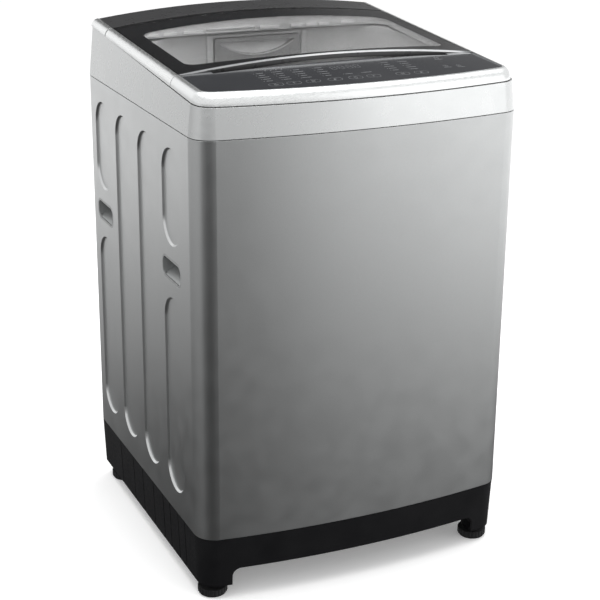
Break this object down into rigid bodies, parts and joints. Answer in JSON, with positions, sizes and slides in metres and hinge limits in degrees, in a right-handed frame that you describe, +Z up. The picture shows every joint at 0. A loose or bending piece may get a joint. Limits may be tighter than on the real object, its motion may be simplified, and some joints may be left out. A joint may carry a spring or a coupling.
{
  "type": "top load washing machine",
  "caption": "Free-standing top load washing machine with a crowned glass lid, a touch panel, a ribbed steel cabinet, a suspended tub and drum, a detergent drawer and levelling feet.",
  "frame": {"origin": "middle of the machine's footprint on the floor, under the bounding box's centre", "axes": "+Z up, the front and its control panel face -Y, +X to the right seen from the front"},
  "size_m": [0.61, 0.604, 0.9707],
  "materials": {
    "wrap_silver_paint": "metallic satin",
    "band_silver": "metallic satin",
    "handle_grey": "satin",
    "trim_silver": "brushed metallic",
    "base_black": "fine grained",
    "galvanised_steel": "spangled",
    "bright_steel": "machined",
    "liner_grey": "satin",
    "deck_black": "piano gloss",
    "panel_glass_black": "gloss",
    "panel_tray_black": "matte",
    "lid_window_glass": "polished",
    "chrome": "mirror",
    "rubber_black": "matte",
    "foot_grey": "satin",
    "tub_plastic": "satin",
    "drum_stainless": "brushed",
    "motor_paint": "semi gloss",
    "pulley_alloy": "cast",
    "valve_plastic": "satin",
    "circuit_green": "satin"
  },
  "bodies": {
    "cabinet": {"base_frame": "base_black", "bottom_guard": "base_black", "drain_outlet": "tub_plastic", "cabinet_wrap": "wrap_silver_paint", "left_handles": "handle_grey", "right_handles": "handle_grey", "rear_cover": "galvanised_steel", "rear_service_cover": "galvanised_steel", "rear_screws": "bright_steel", "power_gland": "rubber_black", "top_cover": "band_silver", "opening_liner": "liner_grey", "dispenser_housing": "liner_grey", "inlet_valves": "valve_plastic", "front_trim": "trim_silver", "rear_trims": "trim_silver", "panel_bezel": "chrome", "panel_glass": "panel_glass_black", "control_housing": "panel_tray_black", "control_board": "circuit_green", "display_module": "panel_tray_black", "rear_deck": "deck_black", "hinge_brackets": "galvanised_steel", "lid_bumpers": "rubber_black", "lid_switch": "valve_plastic", "hanger_plates": "galvanised_steel", "suspension_rods": "bright_steel", "suspension_springs": "bright_steel"},
    "lid": {"lid_strips": "trim_silver", "lid_glass": "lid_window_glass", "lid_border": "deck_black", "lid_frame": "liner_grey", "hinge_pins": "bright_steel", "lid_chrome": "chrome", "lid_lip": "deck_black"},
    "drawer": {"drawer_front": "liner_grey", "drawer_tray": "liner_grey"},
    "tub": {"outer_tub": "tub_plastic", "tub_cover": "tub_plastic", "drive_plate": "galvanised_steel", "gearbox": "motor_paint", "main_seal": "rubber_black", "drain_valve": "valve_plastic", "motor_body": "motor_paint", "drive_belt": "rubber_black"},
    "drum": {"spin_shaft": "bright_steel", "drum_base": "tub_plastic", "wash_drum": "drum_stainless", "balance_ring": "tub_plastic", "lint_filters": "tub_plastic"},
    "pulsator_drive": {"wash_shaft": "bright_steel", "drive_pulley": "pulley_alloy", "pulsator": "tub_plastic", "pulsator_cap": "tub_plastic"},
    "motor_rotor": {"motor_shaft": "bright_steel", "motor_pulley": "pulley_alloy"},
    "foot_front_left": {"foot_front_left": "foot_grey"},
    "foot_front_right": {"foot_front_right": "foot_grey"},
    "foot_rear_left": {"foot_rear_left": "foot_grey"},
    "foot_rear_right": {"foot_rear_right": "foot_grey"}
  },
  "joints": [
    {"name": "lid_hinge", "type": "hinge", "parent": "cabinet", "child": "lid", "pos_m": [0, 0.206, 0.9505], "axis": [-1, 0, 0], "range_deg": [0, 92]},
    {"name": "drawer_slide", "type": "slide", "parent": "cabinet", "child": "drawer", "axis": [0, -1, 0], "range_m": [0, 0.085]},
    {"name": "tub_bounce", "type": "slide", "parent": "cabinet", "child": "tub", "axis": [0, 0, 1], "range_m": [-0.015, 0.015], "stiffness_N_per_m": 22000, "springref_m": 0.01795, "deforming": ["suspension_springs"]},
    {"name": "drum_spin", "type": "hinge", "parent": "tub", "child": "drum", "pos_m": [0, 0, 0.3], "axis": [0, 0, 1], "continuous": true},
    {"name": "pulsator_spin", "type": "hinge", "parent": "tub", "child": "pulsator_drive", "pos_m": [0, 0, 0.3], "axis": [0, 0, 1], "continuous": true},
    {"name": "motor_spin", "type": "hinge", "parent": "tub", "child": "motor_rotor", "pos_m": [0.15, 0.03, 0.2], "axis": [0, 0, 1], "continuous": true},
    {"name": "foot_front_left_turn", "type": "hinge", "parent": "cabinet", "child": "foot_front_left", "pos_m": [-0.271, -0.243, 0.02], "axis": [0, 0, 1], "range_deg": [-720, 720]},
    {"name": "foot_front_right_turn", "type": "hinge", "parent": "cabinet", "child": "foot_front_right", "pos_m": [0.271, -0.243, 0.02], "axis": [0, 0, 1], "range_deg": [-720, 720]},
    {"name": "foot_rear_left_turn", "type": "hinge", "parent": "cabinet", "child": "foot_rear_left", "pos_m": [-0.271, 0.262, 0.02], "axis": [0, 0, 1], "range_deg": [-720, 720]},
    {"name": "foot_rear_right_turn", "type": "hinge", "parent": "cabinet", "child": "foot_rear_right", "pos_m": [0.271, 0.262, 0.02], "axis": [0, 0, 1], "range_deg": [-720, 720]}
  ],
  "couplings": [
    {"joint": "motor_spin", "follows": "pulsator_spin", "ratio": 4.375}
  ]
}
